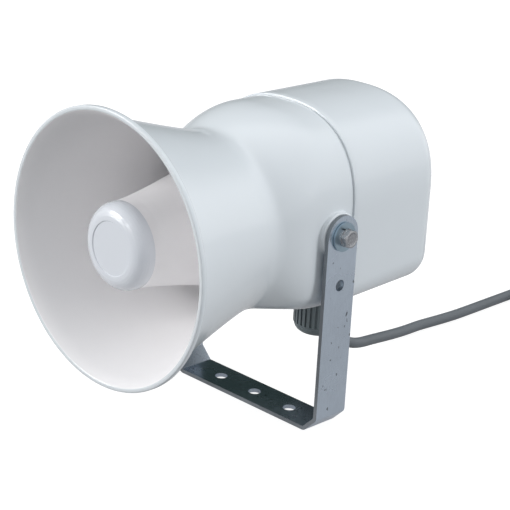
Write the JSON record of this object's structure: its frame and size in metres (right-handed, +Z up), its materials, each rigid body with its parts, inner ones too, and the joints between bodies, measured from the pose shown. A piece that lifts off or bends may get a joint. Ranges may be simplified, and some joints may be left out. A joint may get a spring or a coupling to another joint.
{
  "type": "horn loudspeaker",
  "caption": "Weatherproof folded-horn loudspeaker: flared round bell, arched housing, tilting strap bracket with bolt holes in its base, and a fly lead from a cable gland.",
  "frame": {"origin": "centre of the underside of the bracket's base, below the tilt axis", "axes": "+X along the tilt axis, -Y the way the bell faces at rest, +Z up away from the mounting surface"},
  "size_m": [0.1745, 0.4889, 0.2025],
  "materials": {
    "housing_plastic": "smooth gloss moulding, white with a cool tint",
    "nose_plastic": "smooth gloss moulding",
    "reflector_plastic": "fine satin moulding",
    "throat_plastic": "satin moulding",
    "black_plastic": "satin moulding",
    "diaphragm_film": "amber resin film",
    "copper_wire": "enamelled winding",
    "plated_steel": "zinc plated",
    "ferrite": "ground ceramic magnet",
    "terminal_board": "resin board",
    "core_laminations": "varnished laminations",
    "terminal_plastic": "satin moulding",
    "brass_insert": "turned",
    "seal_foam": "closed cell foam",
    "seal_rubber": "matt",
    "zinc_fastener": "zinc plated",
    "bolt_steel": "rough forged head, zinc plated",
    "washer_steel": "blue passivated",
    "gland_nylon": "moulded, dark grey green",
    "strap_steel": "zinc plated strip, dull with small pits",
    "cable_jacket": "extruded jacket, satin",
    "core_insulation": "extruded core insulation"
  },
  "bodies": {
    "bracket": {"bracket": "strap_steel", "cable": "cable_jacket", "cable_coil": "cable_jacket", "cable_tie": "black_plastic", "cable_ends": "core_insulation"},
    "horn": {"horn_body": "housing_plastic", "reflector": "reflector_plastic", "throat_tube": "throat_plastic", "reflector_screws": "zinc_fastener", "nose_cap": "nose_plastic", "throat_gasket": "seal_rubber", "phase_plug": "black_plastic", "diaphragm": "diaphragm_film", "voice_coil": "copper_wire", "top_plate": "plated_steel", "ring_magnet": "ferrite", "magnet_yoke": "plated_steel", "driver_screws": "zinc_fastener", "driver_terminals": "terminal_board", "transformer_core": "core_laminations", "transformer_winding": "copper_wire", "transformer_screws": "zinc_fastener", "terminal_block": "terminal_plastic", "thread_inserts": "brass_insert", "housing_seal": "seal_foam", "rear_cover": "housing_plastic", "cover_screws": "zinc_fastener", "pivot_bolts": "bolt_steel", "spring_washers": "bolt_steel", "plain_washers": "washer_steel", "gland_body": "gland_nylon", "gland_washer": "seal_rubber", "gland_locknut": "gland_nylon", "gland_seal": "seal_rubber", "gland_nut": "gland_nylon"}
  },
  "joints": [
    {"name": "tilt", "type": "hinge", "parent": "bracket", "child": "horn", "pos_m": [0, 0, 0.1225], "axis": [1, 0, 0], "range_deg": [-15, 45], "deforming": ["cable"]}
  ]
}
